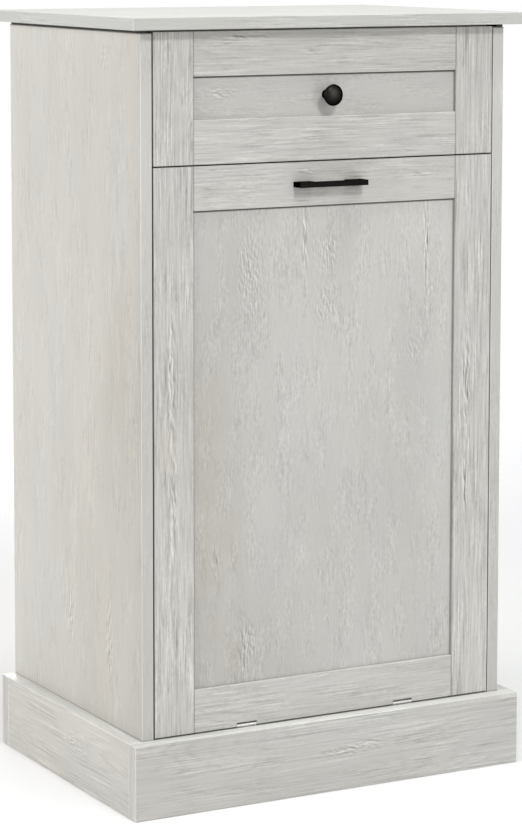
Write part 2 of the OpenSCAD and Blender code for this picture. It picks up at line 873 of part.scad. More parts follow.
module at_floor_cams() {
    both_sides() for (y = [front_t + floor_cam_inset, floor_y1 - floor_cam_inset])
        translate([wing_in, y, floor_z0 + cradle_t / 2]) rotate([0, 0, 180]) children();
}

module at_cradle_rail_cams() {
    both_sides() translate([wing_in, floor_y1 - cradle_t / 2, floor_z1 + cradle_rail_h / 2])
        rotate([-90, 0, 180]) children();
}

module door_stile() difference() {
    front_stile(door_z0, door_z1);
    at_wing_cams() bolt_bore();
}

module door_stile_left() place() color(wood_color) on_side(-1) door_stile();

module door_stile_right() place() color(wood_color) on_side(1) door_stile();

module at_pull_screws() {
    both_sides() translate([pull_screw_x, front_t, pull_z]) rotate([-90, 0, 0]) children();
}

module door_rail_top() place() color(wood_color) difference() {
    front_rail(door_z1 - frame_w, door_z1, false);
    at_pull_screws() translate([0, 0, -front_t - 1]) cylinder(h = front_t + 2, r = handle_hole_r);
    at_strike_screw() short_bore();
}

// Room for the knuckles and a shallow seat behind it that the door's leaf is let into
module hinge_notch() {
    x0 = hinge_x - hinge_w / 2;
    x1 = hinge_x + hinge_w / 2;
    block([x0 - notch_side, -1, door_z0 - 1],
        [x1 + notch_side, hinge_y + barrel_r + notch_clear, hinge_z + barrel_r + notch_head]);
    block([x0 - leaf_fit, hinge_y, door_z0 - 1], [x1 + leaf_fit, leaf_back + leaf_fit, door_z0 + leaf_t]);
}

module door_rail_bottom() place() color(wood_color) difference() {
    front_rail(door_z0, door_z0 + frame_w, true);
    both_sides() hinge_notch();
    at_door_leaf_screws() short_bore();
}

module pull_handle() place() color(black_color) difference() {
    chamfer = 1;
    half = pull_l / 2;
    foot = half - pull_foot_w;
    back = pull_reach - pull_bar_d;
    intersection() {
        translate([0, 0, pull_z - pull_h / 2]) linear_extrude(pull_h)
            polygon([[-half, 0], [-half, -pull_reach + chamfer], [-half + chamfer, -pull_reach],
                [half - chamfer, -pull_reach], [half, -pull_reach + chamfer], [half, 0], [foot, 0],
                [foot, -back + chamfer], [foot - chamfer, -back], [-foot + chamfer, -back],
                [-foot, -back + chamfer], [-foot, 0]]);
        along_x(-half - 1, half + 1) polygon([[0, pull_z - pull_h / 2], [0, pull_z + pull_h / 2],
            [-pull_reach + 0.7, pull_z + pull_h / 2], [-pull_reach, pull_z + pull_h / 2 - 0.7],
            [-pull_reach, pull_z - pull_h / 2 + 0.7], [-pull_reach + 0.7, pull_z - pull_h / 2]]);
    }
    at_pull_screws() screw_bore(front_t + pull_screw_grip, handle_screw_r);
}

module pull_screws() place() color(steel_color)
    at_pull_screws() pan_screw(front_t + pull_screw_grip, handle_screw_r, handle_head_r, handle_head_h);

// Bin cradle behind the door
module cradle_side() difference() {
    along_x(wing_in, wing_out) intersection() {
        translate([hinge_y, hinge_z]) circle(r = wing_radius, $fn = 180);
        translate([front_t, wing_z0]) square([2 * wing_radius, 2 * wing_radius]);
    }
    at_wing_cams() cam_pocket(cradle_t);
    at_floor_cams() bolt_bore();
    at_cradle_rail_cams() bolt_bore();
    translate([wing_out - bolt_depth - 0.3, stud_y, stud_z]) rotate([0, 90, 0])
        cylinder(h = bolt_depth + 1, r = pin_thread_r + hole_fit);
}

module cradle_side_left() place() color(wood_color) on_side(-1) cradle_side();

module cradle_side_right() place() color(wood_color) on_side(1) cradle_side();

module cradle_floor() place() color(wood_color) difference() {
    block([-wing_in, front_t, floor_z0], [wing_in, floor_y1, floor_z1]);
    at_floor_cams() cam_pocket(cradle_t);
}

module cradle_rear_rail() place() color(wood_color) difference() {
    block([-wing_in, floor_y1 - cradle_t, floor_z1], [wing_in, floor_y1, floor_z1 + cradle_rail_h]);
    at_cradle_rail_cams() cam_pocket(cradle_t);
}

// Hinges
module knuckle_at(k, spare) {
    translate([hinge_x - hinge_w / 2 + k * knuckle_w - spare, hinge_y, hinge_z])
        rotate([0, 90, 0]) children();
}

// own picks the knuckles of this leaf, 0 for the even ones and 1 for the odd ones
module hinge_leaf(z0, own) difference() {
    union() {
        block([hinge_x - hinge_w / 2, hinge_y, z0], [hinge_x + hinge_w / 2, leaf_back, z0 + leaf_t]);
        for (k = [own:2:knuckles - 1]) knuckle_at(k, -knuckle_gap / 2)
            cylinder(h = knuckle_w - knuckle_gap, r = barrel_r);
    }
    for (k = [1 - own:2:knuckles - 1]) {
        cut_x0 = hinge_x - hinge_w / 2 + k * knuckle_w - knuckle_gap / 2 - (k == 0 ? 1 : 0);
        cut_x1 = hinge_x - hinge_w / 2 + (k + 1) * knuckle_w + knuckle_gap / 2 + (k == knuckles - 1 ? 1 : 0);
        block([cut_x0, hinge_y - 1, z0 - 1], [cut_x1, hinge_y + barrel_r + notch_clear, z0 + leaf_t + 1]);
    }
    translate([hinge_x - hinge_w / 2 - 1, hinge_y, hinge_z]) rotate([0, 90, 0])
        cylinder(h = hinge_w + 2, r = hinge_pin_d / 2 + pin_fit);
}

module hinge_leaves_fixed() place() color(steel_color) difference() {
    both_sides() hinge_leaf(plinth_h, 0);
    at_fixed_leaf_screws() short_bore();
}

module hinge_leaves_door() place() color(steel_color) difference() {
    both_sides() hinge_leaf(door_z0, 1);
    at_door_leaf_screws() short_bore();
}

module hinge_pins() place() color(steel_color) both_sides() {
    head = 0.4;
    translate([hinge_x - hinge_w / 2 - head, hinge_y, hinge_z]) rotate([0, 90, 0]) {
        cylinder(h = hinge_w + 2 * head, r = hinge_pin_d / 2);
        cylinder(h = head, r = hinge_pin_d / 2 + 0.6);
        translate([0, 0, hinge_w + head]) cylinder(h = head, r = hinge_pin_d / 2 + 0.6);
    }
}

// Stays
module stay() {
    bore_r = shoulder_d / 2 + pin_fit;
    slot_r = bore_r + 0.05;
    end_r = stay_w / 2;
    slot_z = [slot_start - slot_spare, slot_end + slot_spare];
    translate([0, pivot_y, pivot_z]) rotate([stay_rest_angle, 0, 0])
        along_x(stay_x, stay_x + stay_t) difference() {
            union() {
                circle(r = end_r);
                translate([0, -end_r]) square([slot_z[1], stay_w]);
                translate([slot_z[1], 0]) circle(r = end_r);
            }
            circle(r = bore_r);
            translate([slot_z[0], -slot_r]) square([slot_z[1] - slot_z[0], 2 * slot_r]);
            for (s = slot_z) translate([s, 0]) circle(r = slot_r);
        }
}

module stay_left() place() color(steel_color) on_side(-1) stay();

module stay_right() place() color(steel_color) on_side(1) stay();

// A shoulder pin along X from its seat: thread behind the seat, washer, shoulder and head
module shoulder_pin(washer_l) rotate([0, 90, 0]) {
    shoulder_l = stay_t + 2 * stay_fit;
    translate([0, 0, -bolt_depth]) cylinder(h = bolt_depth, r = pin_thread_r);
    cylinder(h = washer_l, r = washer_r);
    translate([0, 0, washer_l]) cylinder(h = shoulder_l, r = shoulder_d / 2);
    translate([0, 0, washer_l + shoulder_l]) difference() {
        cylinder(h = pin_head_t, r = washer_r);
        translate([0, 0, pin_head_t]) cross_recess(washer_r, 0.8);
    }
}

module stay_pivot_pins() place() color(steel_color) both_sides()
    translate([inner_half, pivot_y, pivot_z]) mirror([1, 0, 0])
        shoulder_pin(inner_half - stay_x - stay_t - stay_fit);

module stay_studs() place() color(steel_color) both_sides()
    translate([wing_out, stud_y, stud_z]) shoulder_pin(stay_x - stay_fit - wing_out);

// Catch
module magnet_catch() place() {
    magnet_w = catch_w - 8;
    plate_t = 1.2;
    magnet_h = 4;
    z1 = divider_z0;
    z0 = z1 - catch_h;
    y1 = catch_y0 + catch_d;
    mid_z = z0 + catch_h / 2;
    color(black_color) difference() {
        union() {
            block([-catch_w / 2, catch_y0 + 0.5, z0], [catch_w / 2, y1, z1]);
            block([-catch_w / 2 - catch_ear, catch_y0 + 3, z1 - catch_ear_t],
                [catch_w / 2 + catch_ear, y1 - 3, z1]);
        }
        block([-magnet_w / 2, catch_y0 - 1, mid_z - magnet_h / 2 - plate_t],
            [magnet_w / 2, y1 - 4, mid_z + magnet_h / 2 + plate_t]);
        at_catch_screws() short_bore();
    }
    color(steel_color) for (z = [mid_z - magnet_h / 2 - plate_t, mid_z + magnet_h / 2])
        block([-magnet_w / 2, catch_y0, z], [magnet_w / 2, y1 - 4, z + plate_t]);
    color(black_color) block([-magnet_w / 2, catch_y0 + 1, mid_z - magnet_h / 2],
        [magnet_w / 2, y1 - 4, mid_z + magnet_h / 2]);
}

module strike_plate() place() color(steel_color) difference() {
    block([-strike_w / 2, front_t, strike_z0], [strike_w / 2, front_t + strike_t, strike_z0 + strike_h]);
    at_strike_screw() short_bore();
}

// Fasteners of the cabinet and the door
module cam_locks() place() color(steel_color) {
    at_bottom_cams() cam_lock(board_t);
    at_divider_cams() cam_lock(board_t);
    at_rail_cams() cam_lock(board_t);
}

module cam_bolts() place() color(steel_color) {
    at_bottom_cams() cam_bolt();
    at_divider_cams() cam_bolt();
    at_rail_cams() cam_bolt();
}

module carcass_screws() place() color(steel_color) {
    at_top_screws() long_screw();
    at_plinth_side_screws() long_screw();
    at_plinth_front_screws() long_screw();
    at_plinth_rear_screws() long_screw();
}

module small_screws() place() color(steel_color) at_small_screws() short_screw();

module door_cam_fittings() place() color(steel_color) {
    at_wing_cams() {
        cam_lock(cradle_t);
        cam_bolt();
    }
    at_floor_cams() {
        cam_lock(cradle_t);
        cam_bolt();
    }
    at_cradle_rail_cams() {
        cam_lock(cradle_t);
        cam_bolt();
    }
}

module door_screws() place() color(steel_color) {
    at_door_leaf_screws() short_screw();
    at_strike_screw() short_screw();
}

top_panel();
side_panel_left();
side_panel_right();
bottom_panel();
divider_panel();
top_rail_front();
top_rail_rear();
back_panel();
plinth_front();
plinth_left();
plinth_right();
plinth_rear();
plinth_blocks();
hinge_leaves_fixed();
hinge_pins();
slide_outer_left();
slide_outer_right();
magnet_catch();
stay_pivot_pins();
cam_locks();
cam_bolts();
carcass_screws();
small_screws();
drawer_panel();
drawer_stile_left();
drawer_stile_right();
drawer_rail_top();
drawer_rail_bottom();
knob();
knob_screw();
drawer_side_left();
drawer_side_right();
drawer_box_front();
drawer_box_back();
drawer_bottom();
slide_inner_left();
slide_inner_right();
drawer_screws();
slide_middle_left();
slide_middle_right();
ball_cage_left();
ball_cage_right();
door_panel();
door_stile_left();
door_stile_right();
door_rail_top();
door_rail_bottom();
pull_handle();
pull_screws();
cradle_side_left();
cradle_side_right();
cradle_floor();
cradle_rear_rail();
hinge_leaves_door();
stay_studs();
strike_plate();
door_cam_fittings();
door_screws();
stay_left();
stay_right();
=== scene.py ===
# %% [markdown]
# # Finishing a tilt-out trash can cabinet
#
# The cabinet arrives from CAD as sixty exact pieces: boards, frame strips, slides, stays, hinges and
# screws. Their shapes are done, and only two thin strips are added near the end, so this lesson is about
# finish. A photograph of a whitewashed cabinet looks right for three reasons: the camera stands where the
# photographer stood, the light is soft and falls from the front, the left and above, and every board has
# its own piece of wood grain that runs the way a joiner would lay it. We take those in turn.
#
# First the imported cabinet is loaded. Each piece's placing goes into its mesh, and everything that isn't
# a mesh is removed.

# %% Load the cabinet
import math

import bpy
from mathutils import Matrix, Vector


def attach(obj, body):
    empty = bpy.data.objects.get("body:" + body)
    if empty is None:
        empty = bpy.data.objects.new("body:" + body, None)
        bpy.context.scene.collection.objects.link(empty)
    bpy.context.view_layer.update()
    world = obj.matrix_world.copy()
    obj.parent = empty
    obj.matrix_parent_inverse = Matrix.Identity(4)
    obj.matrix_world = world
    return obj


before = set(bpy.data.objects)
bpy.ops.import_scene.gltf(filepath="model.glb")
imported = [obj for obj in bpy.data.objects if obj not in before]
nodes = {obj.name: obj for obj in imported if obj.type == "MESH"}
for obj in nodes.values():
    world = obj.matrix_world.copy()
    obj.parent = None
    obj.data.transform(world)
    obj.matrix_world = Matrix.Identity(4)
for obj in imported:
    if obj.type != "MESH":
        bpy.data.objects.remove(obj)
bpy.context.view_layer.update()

# %% [markdown]
# ## The camera
#
# The camera was fitted to twenty-eight corners and five long edges of the cabinet, measured in the
# photograph. It stands to the left, a little above the worktop and 3.5 m from the cabinet, with a long
# lens. Product photographs keep upright edges upright, which a camera does with a shifted lens. A large
# shift would push the cabinet out of every other view, so the shift is kept to a fifth of the picture and
# the camera looks down a little instead. The corners then land within about 4 pixels. Lengths are in
# metres and angles in radians; the sensor is in millimetres, and the names that end in PX count pixels.

# %% Place the camera
IMAGE_HEIGHT_PX = 827
FOCAL_PX = 2931.13
AXIS_ROW_PX = 245.0
SENSOR = 36.0
CAMERA_PLACE = (-1.64093, -3.02710, 0.98461)
CAMERA_TURN = -0.497988
CAMERA_DROP = 0.107244
CAMERA_ROLL = 0.000915

camera_data = bpy.data.cameras.new("camera")
camera_data.sensor_width = SENSOR
camera_data.lens = FOCAL_PX * SENSOR / IMAGE_HEIGHT_PX
camera_data.shift_y = (AXIS_ROW_PX - IMAGE_HEIGHT_PX / 2) / IMAGE_HEIGHT_PX
camera = bpy.data.objects.new("camera", camera_data)
turn = Matrix.Rotation(CAMERA_TURN, 4, "Z")
tip = Matrix.Rotation(math.pi / 2 - CAMERA_DROP, 4, "X")
roll = Matrix.Rotation(CAMERA_ROLL, 4, "Z")
camera.matrix_world = Matrix.Translation(CAMERA_PLACE) @ turn @ tip @ roll
bpy.context.scene.collection.objects.link(camera)
bpy.context.scene.camera = camera
print("lens", round(camera_data.lens, 1), "mm, shift", round(camera_data.shift_y, 3))

# %% [markdown]
# ## One way to write every shader
#
# A shader tree can be drawn with the mouse, or written as arithmetic. Written out node by node it takes
# hundreds of lines that hide the idea, so one small class wraps a socket and lets Python's own signs build
# the Math nodes: `base * (1 + 0.1 * grain)` reads as it is meant. The reflected forms are there so that
# `1 - mask` works too.

# %% A socket that does arithmetic
class Value:
    """One output of a shader tree. Arithmetic on it adds Math nodes."""

    def __init__(self, finish, socket):
        self.finish = finish
        self.socket = socket

    def __add__(self, other):
        return self.finish.math("ADD", self, other)

    def __radd__(self, other):
        return self.finish.math("ADD", other, self)

    def __sub__(self, other):
        return self.finish.math("SUBTRACT", self, other)

    def __rsub__(self, other):
        return self.finish.math("SUBTRACT", other, self)

    def __mul__(self, other):
        return self.finish.math("MULTIPLY", self, other)

    def __rmul__(self, other):
        return self.finish.math("MULTIPLY", other, self)

    def __truediv__(self, other):
        return self.finish.math("DIVIDE", self, other)

# %% [markdown]
# Everything that isn't plain arithmetic comes from one method, `add`. It takes the node's type, its
# settings, such as a Math node's operation, and the values or links of its sockets. The settings go first,
# because they decide which sockets a node has. The methods after it only give common nodes a short name:
# colours and vectors have their own, since a Math node would turn a colour grey.

# %% A finish and its nodes
class Finish:
    """The node tree of a material or of the world."""

    def __init__(self, owner):
        owner.use_nodes = True
        self.owner = owner
        self.tree = owner.node_tree
        self.tree.nodes.clear()

    def add(self, kind, settings=None, inputs=None, output=0):
        node = self.tree.nodes.new(kind)
        for key, value in (settings or {}).items():
            setattr(node, key, value)
        for key, value in (inputs or {}).items():
            named = [s for s in node.inputs if key in (s.identifier, s.name)]
            socket = named[0] if named else node.inputs[key]
            if isinstance(value, Value):
                self.tree.links.new(value.socket, socket)
            else:
                socket.default_value = value
        named = [s for s in node.outputs if output in (s.identifier, s.name)]
        return Value(self, named[0] if named else node.outputs[output])

    def math(self, operation, *values):
        return self.add("ShaderNodeMath", {"operation": operation}, dict(enumerate(values)))

    def mix(self, factor, a, b):
        inputs = {"Factor_Float": factor, "A_Color": a, "B_Color": b}
        return self.add("ShaderNodeMix", {"data_type": "RGBA"}, inputs, "Result_Color")

    def place(self):
        """Where a point lies on its piece, in metres."""
        return self.add("ShaderNodeTexCoord", None, None, "Object")

    def scale(self, vector, amount):
        """A vector or colour times a number."""
        start = vector if isinstance(vector, Value) else vector[:3]
        return self.add("ShaderNodeVectorMath", {"operation": "SCALE"}, {0: start, "Scale": amount})

    def join(self, x, y, z):
        return self.add("ShaderNodeCombineXYZ", None, {"X": x, "Y": y, "Z": z})

    def split(self, vector):
        return {axis: self.add("ShaderNodeSeparateXYZ", None, {"Vector": vector}, axis.upper())
                for axis in "xyz"}

    def noise(self, vector, detail=2.0, roughness=0.5):
        inputs = {"Vector": vector, "Scale": 1.0, "Detail": detail, "Roughness": roughness}
        return self.add("ShaderNodeTexNoise", None, inputs, "Fac")

    def speckle(self, per_metre, detail=2.0, roughness=0.5):
        """Noise without a direction, about -0.25 to 0.25, with so many specks to the metre."""
        return self.noise(self.scale(self.place(), per_metre), detail, roughness) - 0.5

    def ramp(self, value, low, high):
        """0 below low, 1 above high, and a soft step between them."""
        inputs = {"Value": value, "From Min": low, "From Max": high}
        return self.add("ShaderNodeMapRange", {"interpolation_type": "SMOOTHSTEP"}, inputs, "Result")

    def bump(self, height, strength, distance):
        inputs = {"Strength": strength, "Distance": distance, "Height": height}
        return self.add("ShaderNodeBump", None, inputs)

    def end(self, kind, shader):
        output = self.tree.nodes.new(kind)
        self.tree.links.new(shader.socket, output.inputs["Surface"])
        return self.owner

    def surface(self, **sockets):
        names = {key.replace("_", " ").title(): value for key, value in sockets.items()}
        names = {key.replace("Ior", "IOR"): value for key, value in names.items()}
        shader = self.add("ShaderNodeBsdfPrincipled", None, names)
        return self.end("ShaderNodeOutputMaterial", shader)

# %% [markdown]
# Three short helpers are used all through the lesson. A material starts from an empty tree. A colour is
# written as it is read off a screen, and turned into the linear light that shaders work with. The few
# shapes that don't come from CAD are meshes written point by point.

# %% Helpers
def new_finish(name):
    return Finish(bpy.data.materials.new(name))


def from_screen(red, green, blue):
    """A colour as a picture stores it, 0 to 255, in the linear light that shaders work with."""
    shares = [part / 255 for part in (red, green, blue)]
    light = [s / 12.92 if s < 0.04045 else ((s + 0.055) / 1.055) ** 2.4 for s in shares]
    return (*light, 1.0)


def new_piece(name, places, faces):
    mesh = bpy.data.meshes.new(name)
    mesh.from_pydata(places, [], faces)
    piece = bpy.data.objects.new(name, mesh)
    bpy.context.scene.collection.objects.link(piece)
    return piece

# %% [markdown]
# ## Light
#
# The photograph was taken in a white studio. The pull and the knob throw their shadows straight down, so
# the main softbox stands in front, well above them, and is small enough to draw the edge of a shadow. A
# weaker one fills from the front right. The left side of the cabinet is lighter than its front, so a large
# softbox stands on the left, and the top is lightest, so another hangs over it, slightly in front. A low
# one behind keeps the far side from going dull. The camera doesn't see the lamps themselves.
#
# Each is given by its direction, its distance and size, and the light that it adds to a surface that faces
# it, where 1 is the level at which a colour renders as it is written. A lamp's watts follow from those.

# %% Softboxes
AIM = Vector((0, 0, 0.45))


def softbox(name, azimuth, height, distance, size, level):
    """azimuth runs from the front (0) to the right (90), in degrees, and height is above the horizon."""
    side = math.radians(azimuth)
    rise = math.radians(height)
    way = Vector((math.sin(side) * math.cos(rise), -math.cos(side) * math.cos(rise), math.sin(rise)))
    lamp = bpy.data.lights.new(name, "AREA")
    lamp.shape = "DISK"
    lamp.size = size
    lamp.energy = level * math.pi ** 2 * distance ** 2
    box = bpy.data.objects.new(name, lamp)
    box.location = AIM + way * distance
    box.rotation_euler = way.to_track_quat("Z", "Y").to_euler()
    box.visible_camera = False
    bpy.context.scene.collection.objects.link(box)
    print(name, round(lamp.energy, 1), "W")


softbox("key_light", azimuth=-4, height=38, distance=3.2, size=0.45, level=0.26)
softbox("right_fill", azimuth=20, height=17, distance=3.2, size=1.3, level=0.08)
softbox("left_fill", azimuth=-80, height=18, distance=3.5, size=2.0, level=0.49)
softbox("rear_fill", azimuth=165, height=0, distance=3.0, size=0.8, level=0.35)
softbox("top_light", azimuth=0, height=82, distance=3.2, size=1.8, level=0.54)

# %% [markdown]
# ## A white room
#
# The world gives the even light of the room. Light Path tells which ray is asking: the camera and mirror
# reflections get pure white, as in the photograph, while the ray that gathers light for a matt surface
# gets less, so that the boards keep their grey.

# %% The world
ROOM_LIGHT = 0.32
WHITE = (1, 1, 1, 1)

world = Finish(bpy.data.worlds.new("white_room"))
asked = world.add("ShaderNodeLightPath", None, None, "Is Camera Ray")
for kind in ("Is Glossy Ray", "Is Transmission Ray"):
    asked = world.math("MAXIMUM", asked, world.add("ShaderNodeLightPath", None, None, kind))
strength = ROOM_LIGHT + (1 - ROOM_LIGHT) * asked
room = world.add("ShaderNodeBackground", None, {"Color": WHITE, "Strength": strength})
bpy.context.scene.world = world.end("ShaderNodeOutputWorld", room)
bpy.context.scene.view_settings.view_transform = "Standard"
print("room light", ROOM_LIGHT)

# %% [markdown]
# The floor is a disc of white paper that fades out into the room. For the camera it glows by what it lacks
# to white, so that only the cabinet's soft shadow shows on it, while the light that it throws back at the
# cabinet is plain paper's. It lies a hair below the plinth, so the two don't share a plane.

# %% The floor
FLOOR_RADIUS = 2.4
FLOOR_SIDES = 96
FLOOR_LEVEL = -0.0005
FLOOR_FADE_FROM = 1.1
FLOOR_GLOW = 0.12
PAPER_WHITE = (0.86, 0.86, 0.86, 1)

turns = [2 * math.pi * k / FLOOR_SIDES for k in range(FLOOR_SIDES)]
rim = [(FLOOR_RADIUS * math.cos(t), FLOOR_RADIUS * math.sin(t), FLOOR_LEVEL) for t in turns]
floor = new_piece("floor", rim, [tuple(range(FLOOR_SIDES))])

paper = new_finish("floor_paper")
away = paper.add("ShaderNodeVectorMath", {"operation": "LENGTH"}, {0: paper.place()}, "Value")
matt = paper.add("ShaderNodeBsdfDiffuse", None, {"Color": PAPER_WHITE})
seen = paper.add("ShaderNodeLightPath", None, None, "Is Camera Ray")
glow = paper.add("ShaderNodeEmission", None, {"Strength": FLOOR_GLOW * seen})
white = paper.add("ShaderNodeAddShader", None, {0: matt, 1: glow})
clear = paper.add("ShaderNodeBsdfTransparent")
fade = paper.ramp(away, FLOOR_FADE_FROM, FLOOR_RADIUS)
faded = paper.add("ShaderNodeMixShader", None, {0: fade, 1: white, 2: clear})
floor.data.materials.append(paper.end("ShaderNodeOutputMaterial", faded))
print("floor", 2 * FLOOR_RADIUS, "m across")

# %% [markdown]
# ## Whitewashed wood grain
#
# The boards are covered with a printed laminate: whitewashed timber, nearly grey, whose grain shows as
# faint streaks, fine dark pores and a few knots. A printed picture of wood would be the quick way, but a
# picture repeats, and it doesn't follow the edges of a board. Noise that is stretched along the grain
# gives both: its slices on a board's narrow faces carry on from its wide faces, as in real timber.
#
# Stretching is all in the coordinates. `figure` divides the distance across the grain by a streak's width
# and the distance along it by a streak's length, so both are real sizes in metres. On a board's end the
# two are swapped, because banding tape is glued along an edge with its grain lengthwise. Three masks tell
# the ends, the long edges and the bevels by the way a face looks, and a seed moves each board to its own
# place in the noise. At knots and cracks the grain is torn: `torn` takes the difference of one noise and
# the same noise a little further on, which lays a pale stroke beside each dark one.

# %% Grain coordinates
FLAT_FACE = (0.75, 0.9)
BEVELLED_FACE = (0.92, 0.8)
SEED_ALONG = 1.7
DRIFT_LENGTH = 0.020
DRIFT_WIDTH = 0.006
PALE_BESIDE = 0.5
PALE_BEYOND = 0.15


class Grain:
    """A board's own timber: how far a point lies along the grain, across it and into the board."""

    def __init__(self, finish, grain, across, seed):
        axes = finish.split(finish.place())
        facing = finish.add("ShaderNodeTexCoord", None, None, "Normal")
        facing = finish.split(finish.add("ShaderNodeVectorMath", {"operation": "ABSOLUTE"}, {0: facing}))
        depth = next(axis for axis in "xyz" if axis not in (grain, across))
        flattest = finish.math("MAXIMUM", finish.math("MAXIMUM", facing["x"], facing["y"]), facing["z"])
        self.finish = finish
        self.seed = seed
        self.axes = axes
        self.deep = axes[depth]
        self.ends = finish.ramp(facing[grain], *FLAT_FACE)
        self.edges = finish.ramp(facing[across], *FLAT_FACE)
        self.bevels = finish.ramp(flattest, *BEVELLED_FACE)
        swapped = self.ends * (axes[grain] - axes[across])
        self.side = axes[across] + swapped
        self.along = axes[grain] - swapped

    def figure(self, width, length, detail=1.0):
        """Noise of streaks, about -0.25 to 0.25, with the given width and length in metres."""
        place = self.finish.join(
            self.side / width + self.seed, self.deep / width, self.along / length + SEED_ALONG * self.seed)
        return self.finish.noise(place, detail) - 0.5

    def torn(self, width, length):
        """Dark strokes with pale ones beside them, along lines that wander."""
        finish = self.finish
        drift = finish.noise(finish.join(self.along / DRIFT_LENGTH + self.seed, self.seed, 0.0), 1.0) - 0.5
        across, up = (self.side - DRIFT_WIDTH * drift) / width, self.along / length
        here = finish.noise(finish.join(across, self.seed, up), 1.0)
        beside = finish.noise(finish.join(across + PALE_BESIDE, self.seed, up + PALE_BEYOND), 1.0)
        return here - beside

    def spot(self, side, along, half_side, half_along):
        """1 in the middle of a spot, falling to 0 round it."""
        across = (self.side - side) / half_side
        up = (self.along - along) / half_along
        return self.finish.math("EXPONENT", -1 * (across * across + up * up))

# %% [markdown]
# ## The marks
#
# The colour is built from large to small. Clouds are slow, light here and dark there. Bands run along the
# board, and patches lean from a cool grey to a warm one. Streaks and fibres are the paint that stayed in
# the grain. Flecks are short marks that hardly run at all, and pores are the darkest part of a very fine
# figure, cut off by a ramp so that only short dark strokes are left. Real timber is lively here and quiet
# there, so all the fine marks are multiplied by a slow figure of their own.
#
# Below, each figure has its width across the grain and its length along it, in metres, and the detail of
# its noise where that isn't 1. Streaks, fibres and pores run longer on some boards than on others, so they
# have a width, and a run that is multiplied by the board's own length. The depths say how strongly a mark
# shows, and each range is where a ramp starts and ends in a figure.

# %% Sizes and depths of the marks
CLOUD = (0.075, 0.26, 2.0)
BAND = (0.014, 0.24, 2.0)
PATCH = (0.05, 0.14, 3.0)
LIVELY = (0.020, 0.075, 2.0)
FLECK = (0.0019, 0.0055, 2.0)
BLOT = (0.022, 0.08, 3.0)
HILL = (0.055, 0.42)
WOBBLE = (0.004, 0.05)
KNOT_TEAR = (0.0026, 0.0075)
CRACK_TEAR = (0.0028, 0.018)
STREAK_WIDTH, STREAK_RUN = 0.0040, 2.4
FIBRE_WIDTH, FIBRE_RUN = 0.0015, 0.9
PORE_WIDTH, PORE_RUN = 0.0016, 0.4

CLOUD_DEPTH = 0.20
BAND_DEPTH = 0.14
STREAK_DEPTH = 0.22
FIBRE_DEPTH = 0.95
FLECK_DEPTH = 0.42
PORE_DEPTH = 0.16
RING_DEPTH = 0.045
KNOT_DEPTH = 1.3
KNOT_SHADE = 0.02
CRACK_DEPTH = 2.0

LIVELY_RANGE = (-0.12, 0.14)
PORE_RANGE = (0.12, 0.24)
LATE_RANGE = (0.1, 1.0)
BLOT_RANGE = (-0.30, 0.18)
PATCH_SPREAD = 0.24
PATCH_LEAN = 0.4

FRONT_GREYS = (from_screen(201.2, 200.5, 196.6), from_screen(203.2, 200.7, 195.0))
SIDE_GREYS = (from_screen(204.5, 203, 197.7), from_screen(206.5, 203, 195.7))
TOP_GREYS = (from_screen(202, 203, 198.8), from_screen(203, 203, 197.8))
BROWN = from_screen(184, 172, 153)
print("front greys", [round(part, 3) for grey in FRONT_GREYS for part in grey[:3]])

# %% [markdown]
# Growth rings come from a trick worth knowing: take a slow, stretched noise and let a sine run up and down
# with it. Its crests follow the noise like contour lines on a map, which is just the pattern of flat-sawn
# timber, and a knot added as a hill gets rings round it.

# %% Growth rings
HILL_HEIGHT = 2.2
KNOT_HEIGHT = 0.5
WOBBLE_HEIGHT = 0.12
RINGS_PER_HILL = 60.0


def growth_rings(wood, knots):
    """The dark late wood of the rings, 0 to 1, and how near a knot a point lies."""
    finish = wood.finish
    hills = HILL_HEIGHT * wood.figure(*HILL)
    knotty = 0.0
    for knot in knots:
        hill = wood.spot(*knot)
        hills = hills + KNOT_HEIGHT * hill
        knotty = finish.math("MAXIMUM", knotty, hill)
    growth = finish.math("SINE", (hills + WOBBLE_HEIGHT * wood.figure(*WOBBLE)) * RINGS_PER_HILL)
    return finish.ramp(growth, *LATE_RANGE), knotty

# %% [markdown]
# ## Lines of shade
#
# Where two pieces meet, the eye sees a thin dark line, and such lines tell it that a front is made of
# frame strips. Part of such a line is the render's own shadow. The finish darkens the rest, over one to
# three millimetres, as painted shade in the joint, gap or recess. The rest is dust and the wrap turning
# into the joint, too small to model, so the finish darkens there, over one to three millimetres. A
# set-back panel gets lines along its four edges, unequal because light comes from above. A rail gets one
# where its ends butt against the stiles, a dark joint rather than shade. Any other is a plane at a place
# on an axis, such as the gap between the drawer and the door. Those are painted shade too, except for one
# printed line on the plinth. Each line fades in between an outer and an inner distance, in metres, and has
# a strength.

# %% Joints, butts and hairlines
JOINT_LEFT = (0.0040, 0.0018, 0.36)
JOINT_RIGHT = (0.0016, 0.0006, 0.38)
JOINT_BOTTOM = (0.0010, 0.0002, 0.26)
JOINT_TOP = (0.0028, 0.0013, 0.80)
BUTT = (0.0016, 0.0006, 0.42)
HAIR = (0.0009, 0.0003)


def line_shade(wood, distance, outer, inner, strength):
    """1 beyond the outer distance, and less by the strength within the inner one."""
    return 1 - strength * wood.finish.ramp(distance, outer, inner)


# Painted shade along the four edges of a set-back panel: the shadow under and beside its frame.
def joint_shade(wood, opening):
    left, right, bottom, top = opening
    x, z = wood.axes["x"], wood.axes["z"]
    lines = [(x - left, JOINT_LEFT), (right - x, JOINT_RIGHT),
             (z - bottom, JOINT_BOTTOM), (top - z, JOINT_TOP)]
    shade = 1.0
    for distance, look in lines:
        shade = shade * line_shade(wood, distance, *look)
    return shade


def butt_shade(wood, half):
    return line_shade(wood, half - wood.finish.math("ABSOLUTE", wood.axes["x"]), *BUTT)


# A line on a plane: painted shade in a gap, or, on the plinth's front, a printed line.
def hairline(wood, axis, place, strength):
    distance = wood.finish.math("ABSOLUTE", wood.axes[axis] - place)
    return line_shade(wood, distance, *HAIR, strength)
